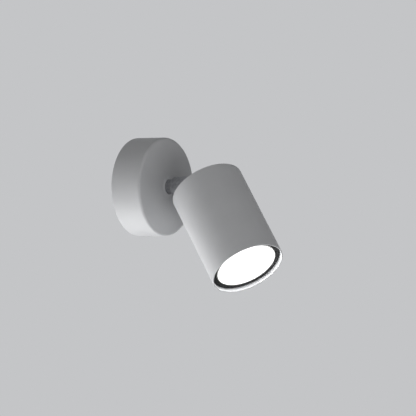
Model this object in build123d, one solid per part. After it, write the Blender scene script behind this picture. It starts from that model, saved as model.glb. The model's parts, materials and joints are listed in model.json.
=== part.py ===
from build123d import *
import math
import os

# Pivoting spotlight wall light. All lengths in mm, all angles in degrees.
#
# Row frame: +Z up, the wall is the plane Y = 0 and the light stands out of it towards -Y.
# The origin is the centre of the mounting plate's back face, on the wall.
#
# Each piece is modelled in the frame of what carries it:
#   wall frame  x to the right, y up, z straight out of the wall
#   arm frame   the wall frame turned by pan_angle about z, so that x lies along the pivot pin
#   head frame  origin at the pivot, x along the pivot pin, z along the head towards its lens

# ---------------------------------------------------------------- pose
pan_angle = -15.93            # turn of the arm about the rose's axis, 0 with the head hanging down
tilt_angle = 53.2             # angle of the head from straight out of the wall

# ---------------------------------------------------------------- fits and clearances
press_gap = 0.05              # radial gap of pieces that are pressed or screwed together
running_gap = 0.05            # radial gap of a shaft that turns in its hole
screw_hole_gap = 0.15         # radial gap of a screw or stem in a plain hole
swing_gap = 0.3               # least gap between the round parts of the two knuckle halves
contact_gap = 0.05            # gap between pieces that lie loosely against each other

# ---------------------------------------------------------------- rose cover
rose_radius = 40.0
rose_depth = 27.2
rose_wall = 2.0
rose_edge_radius = 2.2
hub_flare_radius = 28.0       # the cover's face starts to rise towards its hub here
hub_knee_radius = 8.6         # and turns up steeply here
hub_knee_height = 0.9
hub_top_radius = 6.6
hub_height = 2.0

# ---------------------------------------------------------------- mounting plate on the wall
plate_thickness = 1.5
plate_edge_gap = 0.5          # between the plate's rim and the inside of the rose cover
ear_width = 10.0
ear_height = 10.5
wall_slot_width = 4.5
wall_slot_length = 8.0
wall_slot_edge = 3.5          # from each slot's outer end to the plate's rim
cable_hole_radius = 8.0
cable_hole_edge = 11.5        # from the cable hole to the plate's rim
bush_bore_radius = 5.0
bush_flange_width = 2.0
bush_flange_thickness = 1.6

# ---------------------------------------------------------------- screws of the rose cover
cover_screw_radius = 1.5
cover_screw_head_radius = 2.75
cover_screw_length = 7.0
cover_screw_height = 6.0      # above the wall
cover_screw_sink = 0.15       # the head's top lies this far below the cover's surface
driver_slot_width = 0.8
driver_slot_depth = 0.7

# ---------------------------------------------------------------- terminal block
block_ways = 3
way_pitch = 9.0
way_groove = 2.0              # between the towers of two ways
block_width = 16.0
block_height = 13.0
block_web_height = 9.0        # top of the webs between the towers
block_edge = 9.5              # from the block to the plate's rim, below the neck
sleeve_radius = 2.6
sleeve_bore_radius = 1.6
sleeve_inset = 1.5            # each brass sleeve ends this far inside the block
sleeve_height = 5.0           # axis of the sleeves above the plate
terminal_screw_radius = 1.5
terminal_screw_spread = 8.0   # between the two screws of a way
terminal_screw_sink = 1.0     # below the block's top
block_screw_radius = 1.25
block_screw_head_radius = 2.2
block_screw_head_height = 1.6

# ---------------------------------------------------------------- earth terminal
earth_x = 20.0
earth_y = 14.0
earth_screw_radius = 2.0
earth_head_radius = 3.6
earth_head_height = 2.4
earth_shank_length = 4.8
earth_boss_height = 2.0       # boss in the plate that takes the thread
earth_boss_radius = 3.4
tooth_washer_thickness = 0.8
tooth_washer_radius = 4.0
ring_lug_radius = 4.2
ring_lug_thickness = 0.8
ring_lug_tongue = 2.0
lug_barrel_radius = 1.3
lug_barrel_length = 5.0

# ---------------------------------------------------------------- neck, fixed in the rose cover
collar_radius = 6.0
collar_length = 6.5
collar_edge = 0.4
stem_radius = 5.0             # fine thread of 10 mm
neck_bore_radius = 3.2
lock_washer_thickness = 0.9
lock_washer_radius = 7.6
lock_nut_width = 14.0         # across flats
lock_nut_height = 3.0
thread_proud = 0.5            # thread that stands past its lock nut
spigot_radius = 5.0
spigot_length = 12.0
groove_start = 5.6            # from the collar's front face to the middle of the groove
groove_width = 2.2
groove_depth = 0.9
stop_half_angle = 10.0        # the part of the groove left solid, which stops the turn
pan_washer_thickness = 1.0
pan_washer_radius = 5.9

# ---------------------------------------------------------------- arm
arm_radius = 7.9
arm_reach = 38.0              # from the rose cover's face to the pivot
arm_edge = 0.5
arm_bore_radius = 3.7
grub_radius = 1.5
grub_tip_radius = 0.9
grub_socket_radius = 0.8
grub_socket_depth = 1.2
grub_sink = 0.4               # the grub screw's end lies this far below the arm's surface

# ---------------------------------------------------------------- knuckle
pivot_screw_radius = 2.0
pivot_boss_radius = 3.1
lead_cavity_radius = 6.0
lead_cavity_depth = 3.6
friction_ring_inner = 6.3
friction_ring_outer = 7.5
friction_ring_thickness = 0.6
pocket_floor = 4.9            # from the knuckle's middle plane to the floor of each screw pocket
pocket_gap = 0.2
pivot_nut_width = 7.0
pivot_nut_height = 2.2
screw_head_radius = 3.4
screw_head_height = 1.9
screw_socket_radius = 1.25
screw_socket_depth = 1.1
spring_washer_thickness = 0.5
spring_washer_radius = 3.3
lead_slot_low = 0.8           # the slot through each eye, from the middle plane along the pin
lead_slot_high = 3.8
lead_slot_near = 1.2          # and square to the pin
lead_slot_far = 4.4
lead_slot_start = 3.4         # from the pin
lead_pocket_radius = 4.4      # where the slot opens into the bore of each bar
lead_pocket_depth = 2.4

# ---------------------------------------------------------------- head
rear_rim = 1.4                # the tube's rear rim past the pivot
tube_radius = 30.0
tube_wall = 1.0
tube_length = 84.0
tube_edge = 0.4
shoulder = 11.0               # from the pivot to the back plate
lamp_ring_gap = 0.25          # radial, from the lamp's rim to the ring in the tube's mouth
lamp_ring_setback = 0.2       # the ring's front face lies this far behind the lens
lamp_ring_thickness = 1.5
lamp_ring_skirt_depth = 6.0
lamp_ring_skirt_wall = 0.8
back_plate_thickness = 1.5
back_flange_depth = 6.0
back_flange_thickness = 1.2
stem_bore_radius = 3.7

# ---------------------------------------------------------------- lamp holder
bracket_thickness = 1.0
bracket_width = 12.0
bracket_side_gap = 0.5        # between the bracket's legs and the holder
bracket_foot_length = 7.5
holder_seat = 24.0            # from the pivot to the holder's rear face
holder_radius = 14.0
holder_cover_thickness = 2.0
holder_body_height = 10.0
holder_front_wall = 3.7
holder_screw_spacing = 20.0
holder_screw_radius = 1.25
holder_screw_head_radius = 2.2
holder_screw_head_height = 1.6
holder_screw_sink = 0.2
holder_screw_length = 13.0
pin_circle = 5.0              # the lamp's pins stand this far from its axis
pin_neck_radius = 1.6
pin_head_radius = 2.5
pin_head_height = 2.4
pin_side_gap = 0.2
pin_lock_gap = 0.3            # between a pin's head and the holder's front wall
lamp_twist_angle = 25.0       # turn from locked to released
chamber_gap = 0.35
contact_thickness = 0.4
contact_length = 4.4
contact_width = 3.4
lead_hole_radius = 0.7

# ---------------------------------------------------------------- lamp
lens_recess = 3.3             # from the tube's front rim back to the lens
lens_radius = 24.3
lens_thickness = 2.0
lens_ledge = 1.0
lamp_rim_width = 0.7
lamp_rim_depth = 6.5
lamp_wall = 1.2
lamp_seat_gap = 0.2           # between the lamp's base and its holder
lamp_base_radius = 8.6
lamp_base_height = 12.0
lamp_base_floor = 3.0
lamp_shoulder_radius = 13.5
lamp_shoulder_height = 3.0
led_board_depth = 15.0        # from the lens down to the board
led_board_thickness = 1.6
led_ledge = 1.0
led_size = 3.0
led_height = 0.9
led_circle = 11.0
led_count = 6
driver_board_width = 12.0
driver_board_thickness = 1.2
driver_part_heights = (2.5, 4.0, 3.0)
driver_part_width = 5.0
driver_part_gap = 2.0         # between two parts on the board
driver_part_margin = 3.0      # from the board's rear end to the first part
driver_front_margin = 5.75    # from the last part to the board's front end

# ---------------------------------------------------------------- leads
twin_lead_radius = 0.95       # the twin lead through the arm
twin_lead_proud = 2.0         # the twin lead's end past the neck's rear end
core_radius = 0.45            # each single lead
core_run_out = 2.5            # straight run of each single lead out of the twin lead
core_high_bend = 12.0         # heights of the bends of the single leads above the wall
core_low_bend = 8.0
core_run_in = 1.0             # straight run of a lead before its sleeve
core_in_sleeve = 6.0          # from the block's side to the end of a lead in its sleeve
earth_core_radius = 0.6
earth_lead_height = 5.0       # above the wall, between the block and the lug
earth_lead_bend_1 = (4.0, 6.0)    # place of each bend: x, and y from the block's side
earth_lead_bend_2 = (11.0, 9.0)
earth_lead_run_in = 2.0       # straight run before the lug
earth_lead_side_step = 2.0    # bend before the lug: this far to its side and below it
earth_lead_drop = 6.0
earth_in_lug = 3.0            # length of the lead inside the lug

# ---------------------------------------------------------------- values that follow
rose_inner_radius = rose_radius - rose_wall
rose_washer_seat = rose_depth - rose_wall - lock_washer_thickness
rose_nut_seat = rose_washer_seat - lock_nut_height
plate_radius = rose_inner_radius - plate_edge_gap
wall_screw_spacing = 2 * (plate_radius - wall_slot_edge) - wall_slot_length
cable_hole_y = plate_radius - cable_hole_edge - cable_hole_radius
block_centre_y = block_edge + block_width / 2 - plate_radius
ear_face = math.sqrt(plate_radius**2 - (ear_width / 2)**2)
cover_screw_top = rose_radius - cover_screw_sink
cover_screw_cone = cover_screw_head_radius - cover_screw_radius
sleeve_axis = plate_thickness + sleeve_height
earth_washer_seat = plate_thickness + earth_boss_height
ring_lug_seat = earth_washer_seat + tooth_washer_thickness
earth_head_seat = ring_lug_seat + ring_lug_thickness
collar_front = rose_depth + collar_length
neck_end = rose_nut_seat - thread_proud
spigot_end = collar_front + spigot_length
arm_rear = collar_front + pan_washer_thickness
pivot_height = rose_depth + arm_reach
groove_centre = collar_front + groove_start
swing_radius = arm_radius + swing_gap
half_joint = friction_ring_thickness / 2
tube_inner_radius = tube_radius - tube_wall
front_rim = rear_rim + tube_length
plate_front = shoulder + back_plate_thickness
bracket_front = plate_front + bracket_thickness
head_nut_seat = bracket_front + lock_washer_thickness
head_thread_end = head_nut_seat + lock_nut_height + thread_proud
bracket_inner_span = holder_radius + bracket_side_gap
holder_body_seat = holder_seat + holder_cover_thickness
holder_front = holder_body_seat + holder_body_height
chamber_front = holder_front - holder_front_wall
holder_screw_top = holder_front - holder_screw_sink
holder_screw_seat = holder_screw_top - holder_screw_head_height
lamp_back = holder_front + lamp_seat_gap
pin_head_top = chamber_front - pin_lock_gap
pin_head_end = pin_head_top - pin_head_height
lens_front = front_rim - lens_recess
lens_back = lens_front - lens_thickness
lamp_rim_radius = lens_radius + lamp_rim_width
lamp_rim_back = lens_front - lamp_rim_depth
lamp_base_front = lamp_back + lamp_base_height
lamp_cone_back = lamp_base_front + lamp_shoulder_height
led_board_front = lens_front - led_board_depth
led_board_back = led_board_front - led_board_thickness

wall_frame = Plane(origin=(0, 0, 0), x_dir=(1, 0, 0), z_dir=(0, -1, 0)).location
arm_frame = wall_frame * Rot(0, 0, pan_angle)
head_in_arm = Pos(0, 0, pivot_height) * Rot(tilt_angle, 0, 0)
head_frame = arm_frame * head_in_arm


# ---------------------------------------------------------------- shape helpers
def rod(radius, start, end):
    """Cylinder about z from start to end."""
    return Pos(0, 0, start) * extrude(Circle(radius), end - start)


def tube(outer, inner, start, end):
    """Hollow cylinder about z from start to end."""
    return rod(outer, start, end) - rod(inner, start, end)


def box(x_span, y_span, z_span):
    """Box from a (low, high) pair along each axis."""
    size = [high - low for low, high in (x_span, y_span, z_span)]
    middle = [(high + low) / 2 for low, high in (x_span, y_span, z_span)]
    return Pos(*middle) * Box(*size)


def centred(width, offset=0.0):
    """The (low, high) pair of a width about an offset."""
    return (offset - width / 2, offset + width / 2)


def turned(profile):
    """Solid turned about z from a closed list of (radius, height) points."""
    outline = Polyline(*[(radius, 0, height) for radius, height in profile], close=True)
    return revolve(make_face(outline), axis=Axis.Z)


def hexagon(width, start, end):
    """Hexagonal prism about z, with its width across flats."""
    corner_radius = width / 2 / math.cos(math.radians(30))
    return Pos(0, 0, start) * extrude(RegularPolygon(corner_radius, 6), end - start)


def along_x(shape):
    """Lay a shape made about z along x, with its top towards +x."""
    return Rot(0, 90, 0) * shape


def along_y(shape):
    """Lay a shape made about z along y, with its top towards +y."""
    return Rot(-90, 0, 0) * shape


def slotted(screw, top, reach):
    """Cut a screwdriver slot into a screw's end at height top."""
    return screw - box(centred(driver_slot_width), centred(2 * reach), (top - driver_slot_depth, top))


def lead(points, radius):
    """Round wire through the points: straight runs joined by tangent arcs."""
    points = [Vector(*point) for point in points]
    edges = []
    bends = []
    run_start = points[0]
    for before, corner, after in zip(points, points[1:], points[2:]):
        back = (before - corner).normalized()
        ahead = (after - corner).normalized()
        half_turn = (math.pi - math.acos(back.dot(ahead))) / 2
        trim = 0.45 * min((before - corner).length, (after - corner).length)
        bend = trim / math.tan(half_turn)
        arc_start = corner + back * trim
        arc_end = corner + ahead * trim
        inwards = (back + ahead).normalized()
        arc_middle = corner + inwards * (bend / math.cos(half_turn) - bend)
        edges.append(Edge.make_line(run_start, arc_start))
        edges.append(Edge.make_three_point_arc(arc_start, arc_middle, arc_end))
        bends.append(bend)
        run_start = arc_end
    edges.append(Edge.make_line(run_start, points[-1]))
    route = Wire(edges)
    start = Plane(origin=points[0], z_dir=points[1] - points[0])
    wire = sweep(start * Circle(radius), path=route)
    expected = math.pi * radius**2 * route.length
    print(f"lead of radius {radius}: volume {wire.volume:.1f} of {expected:.1f}, bends "
          + ", ".join(f"{bend:.1f}" for bend in bends))
    return wire


# ---------------------------------------------------------------- plate and rose cover
def make_mounting_plate():
    plate = rod(plate_radius, 0, plate_thickness)
    ear = box(centred(ear_width), (ear_face - plate_thickness, ear_face), (0, ear_height))
    plate += [ear, Rot(0, 0, 180) * ear]
    plate += Pos(earth_x, earth_y, 0) * rod(earth_boss_radius, 0, earth_washer_seat)
    plate -= Pos(earth_x, earth_y, 0) * rod(earth_screw_radius + press_gap, 0, earth_washer_seat)
    for side in (-1, 1):
        slot = extrude(SlotOverall(wall_slot_length, wall_slot_width), plate_thickness)
        plate -= Pos(side * wall_screw_spacing / 2, 0, 0) * slot
    plate -= Pos(0, cable_hole_y, 0) * rod(cable_hole_radius, 0, plate_thickness)
    plate -= Pos(way_pitch / 2, block_centre_y, 0) * rod(block_screw_radius + press_gap, 0, plate_thickness)
    cover_thread = rod(cover_screw_radius + press_gap, 0, rose_radius) - rod(rose_radius, 0, ear_face / 2)
    for side in (90, -90):
        plate -= Rot(0, 0, side) * Pos(0, 0, cover_screw_height) * along_x(cover_thread)
    return plate


def make_cable_bush():
    flange_front = plate_thickness + bush_flange_thickness
    bush = rod(cable_hole_radius - press_gap, 0, plate_thickness)
    bush += rod(cable_hole_radius + bush_flange_width, plate_thickness, flange_front)
    bush -= rod(bush_bore_radius, 0, flange_front)
    return Pos(0, cable_hole_y, 0) * bush


def make_rose_hub():
    """The middle of the rose cover, which curves up to the collar in a wide arc and a steep one."""
    low = rose_depth - rose_wall
    top = rose_depth + hub_height
    flare = TangentArc((hub_flare_radius, 0, rose_depth),
                       (hub_knee_radius, 0, rose_depth + hub_knee_height), tangent=(-1, 0, 0))
    lip = TangentArc(flare @ 1, (hub_top_radius, 0, top), tangent=flare % 1)
    rest = Polyline(lip @ 1, (0, 0, top), (0, 0, low), (hub_flare_radius, 0, low), flare @ 0)
    return revolve(make_face([flare, lip, rest]), axis=Axis.Z)


def make_rose_cover():
    cover = rod(rose_radius, 0, rose_depth)
    cover = fillet(cover.edges().group_by(Axis.Z)[-1], rose_edge_radius)
    cover -= rod(rose_inner_radius, 0, rose_depth - rose_wall)
    cover += make_rose_hub()
    cover -= rod(collar_radius + press_gap, rose_depth, rose_depth + hub_height)
    cover -= rod(stem_radius + press_gap, rose_depth - rose_wall, rose_depth)
    hole = turned([(0, rose_inner_radius / 2), (cover_screw_radius + screw_hole_gap, rose_inner_radius / 2),
                   (cover_screw_radius + screw_hole_gap, cover_screw_top - cover_screw_cone),
                   (cover_screw_head_radius + press_gap, cover_screw_top),
                   (cover_screw_head_radius + press_gap, rose_radius), (0, rose_radius)])
    for side in (90, -90):
        cover -= Rot(0, 0, side) * Pos(0, 0, cover_screw_height) * along_x(hole)
    return cover


def make_cover_screws():
    screw = turned([(0, cover_screw_top - cover_screw_length),
                    (cover_screw_radius, cover_screw_top - cover_screw_length),
                    (cover_screw_radius, cover_screw_top - cover_screw_cone),
                    (cover_screw_head_radius, cover_screw_top), (0, cover_screw_top)])
    screw = slotted(screw, cover_screw_top, cover_screw_head_radius)
    screw = Pos(0, 0, cover_screw_height) * along_x(screw)
    return [Rot(0, 0, 90) * screw, Rot(0, 0, -90) * screw]


# ---------------------------------------------------------------- terminals
def way_positions():
    middle = (block_ways - 1) / 2
    return [(index - middle) * way_pitch for index in range(block_ways)]


def screw_positions():
    spread = terminal_screw_spread / 2
    return [(x, block_centre_y + offset) for x in way_positions() for offset in (-spread, spread)]


def make_terminal_block():
    top = plate_thickness + block_height
    y_span = centred(block_width, block_centre_y)
    body = box(centred(block_ways * way_pitch), y_span,
               (plate_thickness, plate_thickness + block_web_height))
    for x in way_positions():
        body += box(centred(way_pitch - way_groove, x), y_span, (plate_thickness, top))
    for x in way_positions():
        body -= Pos(x, y_span[0], sleeve_axis) * along_y(rod(sleeve_radius + press_gap, 0, block_width))
    for x, y in screw_positions():
        body -= Pos(x, y, 0) * rod(terminal_screw_radius + screw_hole_gap, sleeve_axis, top)
    fixing = rod(block_screw_radius + screw_hole_gap, plate_thickness, top)
    fixing += rod(block_screw_head_radius + screw_hole_gap, plate_thickness + block_web_height, top)
    return body - Pos(way_pitch / 2, block_centre_y, 0) * fixing


def make_terminal_sleeves():
    length = block_width - 2 * sleeve_inset
    sleeves = []
    for x in way_positions():
        sleeve = along_y(tube(sleeve_radius, sleeve_bore_radius, -length / 2, length / 2))
        for offset in centred(terminal_screw_spread):
            sleeve -= Pos(0, offset, 0) * rod(terminal_screw_radius + press_gap, 0, sleeve_radius)
        sleeves.append(Pos(x, block_centre_y, sleeve_axis) * sleeve)
    return sleeves


def make_terminal_screws():
    top = plate_thickness + block_height - terminal_screw_sink
    tip = sleeve_axis - sleeve_bore_radius + 2 * earth_core_radius + contact_gap
    screw = slotted(rod(terminal_screw_radius, tip, top), top, terminal_screw_radius)
    return [Pos(x, y, 0) * screw for x, y in screw_positions()]


def make_block_screw():
    seat = plate_thickness + block_web_height
    top = seat + block_screw_head_height
    screw = rod(block_screw_radius, 0, seat) + rod(block_screw_head_radius, seat, top)
    return Pos(way_pitch / 2, block_centre_y, 0) * slotted(screw, top, block_screw_head_radius)


def toothed_washer(outer, inner, start, thickness, teeth):
    """Washer with narrow notches round its rim."""
    washer = tube(outer, inner, start, start + thickness)
    notch = box((outer - 1.0, outer + 1.0), centred(0.7), (start, start + thickness))
    for index in range(teeth):
        washer -= Rot(0, 0, 360 / teeth * index) * notch
    return washer


def make_earth_washer():
    washer = toothed_washer(tooth_washer_radius, earth_screw_radius + screw_hole_gap,
                            earth_washer_seat, tooth_washer_thickness, 10)
    return Pos(earth_x, earth_y, 0) * washer


def make_earth_screw():
    top = earth_head_seat + earth_head_height
    screw = rod(earth_screw_radius, earth_head_seat - earth_shank_length, earth_head_seat)
    head = rod(earth_head_radius, earth_head_seat, top)
    head = fillet(head.edges().group_by(Axis.Z)[-1], earth_head_height / 3)
    return Pos(earth_x, earth_y, 0) * slotted(screw + head, top, earth_head_radius)


lug_mouth = (earth_x, earth_y - ring_lug_radius - lug_barrel_length, ring_lug_seat + lug_barrel_radius)


def make_earth_lug():
    ring = Pos(earth_x, earth_y, 0) * tube(ring_lug_radius, earth_screw_radius + screw_hole_gap,
                                           ring_lug_seat, earth_head_seat)
    tongue = box(centred(ring_lug_tongue, earth_x),
                 (earth_y - ring_lug_radius - ring_lug_tongue, earth_y - earth_screw_radius - 1.0),
                 (ring_lug_seat, earth_head_seat))
    barrel = Pos(*lug_mouth) * along_y(rod(lug_barrel_radius, 0, lug_barrel_length))
    crimp = Pos(*lug_mouth) * along_y(rod(earth_core_radius + contact_gap, 0, lug_barrel_length - 1.0))
    return ring + tongue + barrel - crimp


# ---------------------------------------------------------------- neck and its fixings
def make_neck():
    neck = rod(collar_radius, rose_depth, collar_front)
    neck = chamfer(neck.edges().group_by(Axis.Z)[-1], collar_edge)
    neck += rod(stem_radius, neck_end, rose_depth)
    neck += rod(spigot_radius, collar_front, spigot_end)
    groove_span = centred(groove_width, groove_centre)
    groove = tube(spigot_radius, spigot_radius - groove_depth, *groove_span)
    stop_slope = math.tan(math.radians(stop_half_angle))
    stop_edge = 2 * spigot_radius
    stop_face = Polyline((0, 0), (-stop_edge, -stop_edge * stop_slope),
                         (-stop_edge, stop_edge * stop_slope), close=True)
    stop = extrude(make_face(stop_face), spigot_end)
    neck -= groove - stop
    neck -= rod(neck_bore_radius, neck_end, spigot_end)
    return neck


def make_lock_washer(seat):
    return toothed_washer(lock_washer_radius, stem_radius + screw_hole_gap, seat, lock_washer_thickness, 12)


def make_lock_nut(seat):
    top = seat + lock_nut_height
    return hexagon(lock_nut_width, seat, top) - rod(stem_radius + press_gap, seat, top)


def make_pan_washer():
    return tube(pan_washer_radius, spigot_radius + screw_hole_gap, collar_front, arm_rear)


# ---------------------------------------------------------------- arm and knuckle
def knuckle_half(bar_end, side, bar_side):
    """One half of the knuckle with its bar: the pin lies along x through the origin, and the half
    lies on the pin's -x or +x side. Its bar runs along z to bar_end, on the bar_side of the pin."""
    low, high = sorted((bar_end, -bar_side * arm_radius))
    bar = rod(arm_radius, low, high)
    eye = along_x(rod(arm_radius, -arm_radius, arm_radius))
    straight = box(centred(2 * arm_radius), centred(2 * arm_radius), sorted((bar_end, 0)))
    half = bar & (eye + straight)
    half -= box(sorted((-side * 2 * arm_radius, side * half_joint)), centred(4 * arm_radius),
                sorted((bar_side * swing_radius, -bar_side * 2 * arm_radius)))
    cavity_span = sorted((side * half_joint, side * (half_joint + lead_cavity_depth)))
    half -= along_x(tube(lead_cavity_radius, pivot_boss_radius, *cavity_span))
    pocket_end = swing_radius + lead_pocket_depth
    half -= box(sorted((side * lead_slot_low, side * lead_slot_high)), (-lead_slot_far, -lead_slot_near),
                sorted((bar_side * lead_slot_start, bar_side * pocket_end)))
    half -= rod(lead_pocket_radius, *sorted((bar_side * swing_radius, bar_side * pocket_end)))
    return half


def make_arm_barrel():
    arm = knuckle_half(arm_rear - pivot_height, -1, -1)
    arm = chamfer(arm.edges().group_by(Axis.Z)[0], arm_edge)
    arm = Pos(0, 0, pivot_height) * arm
    arm -= rod(spigot_radius + running_gap, arm_rear, spigot_end + contact_gap)
    arm -= rod(arm_bore_radius, arm_rear, pivot_height - swing_radius)
    arm -= Pos(0, 0, groove_centre) * along_x(rod(grub_radius + press_gap, 0, 2 * arm_radius))
    pin_hole = rod(pivot_screw_radius + running_gap, -2 * arm_radius, 0)
    nut_pocket = hexagon(pivot_nut_width + 2 * pocket_gap, -2 * arm_radius, -pocket_floor)
    return arm - Pos(0, 0, pivot_height) * along_x(pin_hole + nut_pocket)


def make_head_knuckle():
    head = knuckle_half(shoulder, 1, 1)
    head += rod(stem_radius, shoulder, head_thread_end)
    head -= rod(stem_bore_radius, swing_radius, head_thread_end)
    pin_hole = rod(pivot_screw_radius + running_gap, 0, 2 * arm_radius)
    screw_pocket = rod(screw_head_radius + pocket_gap, pocket_floor, 2 * arm_radius)
    return head - along_x(pin_hole + screw_pocket)


def make_grub_screw():
    top = arm_radius - grub_sink
    tip = spigot_radius - groove_depth + contact_gap
    screw = rod(grub_radius, spigot_radius + running_gap, top)
    screw += rod(grub_tip_radius, tip, spigot_radius + running_gap)
    screw -= rod(grub_socket_radius, top - grub_socket_depth, top)
    return Pos(0, 0, groove_centre) * along_x(screw)


def make_pivot_screw():
    seat = pocket_floor + spring_washer_thickness
    top = seat + screw_head_height
    screw = rod(pivot_screw_radius, -pocket_floor - pivot_nut_height, seat)
    screw += rod(screw_head_radius, seat, top)
    screw -= hexagon(2 * screw_socket_radius, top - screw_socket_depth, top)
    return Pos(0, 0, pivot_height) * along_x(screw)


def make_pivot_nut():
    nut_span = (-pocket_floor - pivot_nut_height, -pocket_floor)
    nut = hexagon(pivot_nut_width, *nut_span) - rod(pivot_screw_radius + press_gap, *nut_span)
    return Pos(0, 0, pivot_height) * along_x(nut)


def make_pivot_washer():
    washer = tube(spring_washer_radius, pivot_screw_radius + screw_hole_gap, pocket_floor,
                  pocket_floor + spring_washer_thickness)
    return Pos(0, 0, pivot_height) * along_x(washer)


def make_friction_ring():
    ring = tube(friction_ring_outer, friction_ring_inner, -half_joint, half_joint)
    return Pos(0, 0, pivot_height) * along_x(ring)


# ---------------------------------------------------------------- head
def make_head_tube():
    shell = tube(tube_radius, tube_inner_radius, rear_rim, front_rim)
    ends = shell.edges().group_by(Axis.Z)
    return fillet(list(ends[0]) + list(ends[-1]), tube_edge)


def make_back_plate():
    outer = tube_inner_radius - press_gap
    plate = rod(outer, shoulder, plate_front)
    plate += tube(outer, outer - back_flange_thickness, shoulder, shoulder + back_flange_depth)
    return plate - rod(stem_radius + screw_hole_gap, shoulder, plate_front)


def make_lamp_ring():
    """Ring pressed into the tube's mouth, which centres the lamp and closes the gap round it."""
    outer = tube_inner_radius - press_gap
    front = lens_front - lamp_ring_setback
    ring = tube(outer, lamp_rim_radius + lamp_ring_gap, front - lamp_ring_thickness, front)
    return ring + tube(outer, outer - lamp_ring_skirt_wall, front - lamp_ring_skirt_depth, front)


def make_holder_bracket():
    outer_span = bracket_inner_span + bracket_thickness
    width = centred(bracket_width)
    bracket = box(width, (-outer_span, outer_span), (plate_front, bracket_front))
    leg = box(width, (bracket_inner_span, outer_span), (plate_front, holder_seat))
    foot = box(width, (outer_span - bracket_foot_length, outer_span),
               (holder_seat - bracket_thickness, holder_seat))
    hole = rod(holder_screw_radius + press_gap, holder_seat - bracket_thickness, holder_seat)
    side = leg + foot - Pos(0, holder_screw_spacing / 2, 0) * hole
    bracket += [side, Rot(0, 0, 180) * side]
    return bracket - rod(stem_radius + screw_hole_gap, plate_front, bracket_front)


# ---------------------------------------------------------------- lamp holder
def key_slot(half_width, start, end):
    """Curved slot that a lamp pin follows as the lamp turns from locked to released."""
    slot = tube(pin_circle + half_width, pin_circle - half_width, start, end)
    angle = math.radians(lamp_twist_angle)
    reach = 4 * pin_circle
    wedge = Polyline((0, 0), (reach, 0), (reach, reach * math.tan(angle)), close=True)
    slot &= extrude(make_face(wedge), end)
    ends = rod(half_width, start, end)
    slot += Pos(pin_circle, 0, 0) * ends
    slot += Pos(pin_circle * math.cos(angle), pin_circle * math.sin(angle), 0) * ends
    return slot


def make_holder_body():
    body = rod(holder_radius, holder_body_seat, holder_front)
    angle = math.radians(lamp_twist_angle)
    release = Pos(pin_circle * math.cos(angle), pin_circle * math.sin(angle), 0)
    keyway = key_slot(pin_head_radius + chamber_gap, holder_body_seat, chamber_front)
    keyway += key_slot(pin_neck_radius + pin_side_gap, chamber_front, holder_front)
    keyway += release * rod(pin_head_radius + pin_side_gap, chamber_front, holder_front)
    screw_hole = rod(holder_screw_radius + screw_hole_gap, holder_body_seat, holder_screw_seat)
    screw_hole += rod(holder_screw_head_radius + screw_hole_gap, holder_screw_seat, holder_front)
    for turn in (0, 180):
        body -= Rot(0, 0, turn) * keyway
        body -= Rot(0, 0, turn) * Pos(0, holder_screw_spacing / 2, 0) * screw_hole
    return body


def make_holder_cover():
    cover = rod(holder_radius, holder_seat, holder_body_seat)
    screw_hole = rod(holder_screw_radius + screw_hole_gap, holder_seat, holder_body_seat)
    lead_hole = rod(lead_hole_radius, holder_seat, holder_body_seat)
    for side in (-1, 1):
        cover -= Pos(0, side * holder_screw_spacing / 2, 0) * screw_hole
        cover -= Pos(side * pin_circle, 0, 0) * lead_hole
    return cover


def make_holder_contacts():
    base = holder_body_seat
    top = pin_head_end - contact_gap
    length = centred(contact_length, pin_circle)
    width = centred(contact_width)
    contact = box(length, width, (base, base + contact_thickness))
    contact += box((length[1] - contact_thickness, length[1]), width, (base, top))
    contact += box(length, width, (top - contact_thickness, top))
    return [contact, Rot(0, 0, 180) * contact]


def make_holder_screws():
    screw = rod(holder_screw_radius, holder_screw_seat - holder_screw_length, holder_screw_seat)
    screw += rod(holder_screw_head_radius, holder_screw_seat, holder_screw_top)
    screw = slotted(screw, holder_screw_top, holder_screw_head_radius)
    offset = holder_screw_spacing / 2
    return [Pos(0, offset, 0) * screw, Pos(0, -offset, 0) * screw]


# ---------------------------------------------------------------- lamp
def lamp_cone_radius(height):
    """Outer radius of the lamp's housing at a height on its cone."""
    share = (height - lamp_cone_back) / (lamp_rim_back - lamp_cone_back)
    return lamp_shoulder_radius + share * (lamp_rim_radius - lamp_shoulder_radius)


def make_lamp_base():
    base = rod(lamp_base_radius, lamp_back, lamp_base_front)
    base -= rod(lamp_base_radius - lamp_wall, lamp_back + lamp_base_floor, lamp_base_front)
    for side in (-1, 1):
        base -= Pos(side * pin_circle, 0, 0) * rod(pin_neck_radius + press_gap, lamp_back,
                                                   lamp_back + lamp_base_floor)
    return base


def make_lamp_pins():
    pin = rod(pin_head_radius, pin_head_end, pin_head_top)
    pin = fillet(pin.edges().group_by(Axis.Z)[0], pin_head_height / 3)
    pin += rod(pin_neck_radius, pin_head_top, lamp_back + lamp_base_floor)
    return [Pos(pin_circle, 0, 0) * pin, Pos(-pin_circle, 0, 0) * pin]


def make_lamp_housing():
    mouth = lamp_base_radius - lamp_wall
    lens_seat = lens_radius + contact_gap
    board_seat = lamp_cone_radius(led_board_back) - lamp_wall
    return turned([(mouth, lamp_base_front), (lamp_base_radius, lamp_base_front),
                   (lamp_shoulder_radius, lamp_cone_back), (lamp_rim_radius, lamp_rim_back),
                   (lamp_rim_radius, lens_front), (lens_seat, lens_front), (lens_seat, lens_back),
                   (lens_seat - lens_ledge, lens_back), (lens_seat - lens_ledge, lamp_rim_back),
                   (board_seat, led_board_back), (board_seat - led_ledge, led_board_back),
                   (lamp_shoulder_radius - lamp_wall, lamp_cone_back + lamp_wall),
                   (mouth, lamp_base_front + lamp_wall)])


def make_led_board():
    board_radius = lamp_cone_radius(led_board_back) - lamp_wall - contact_gap
    return rod(board_radius, led_board_back, led_board_front)


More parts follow.
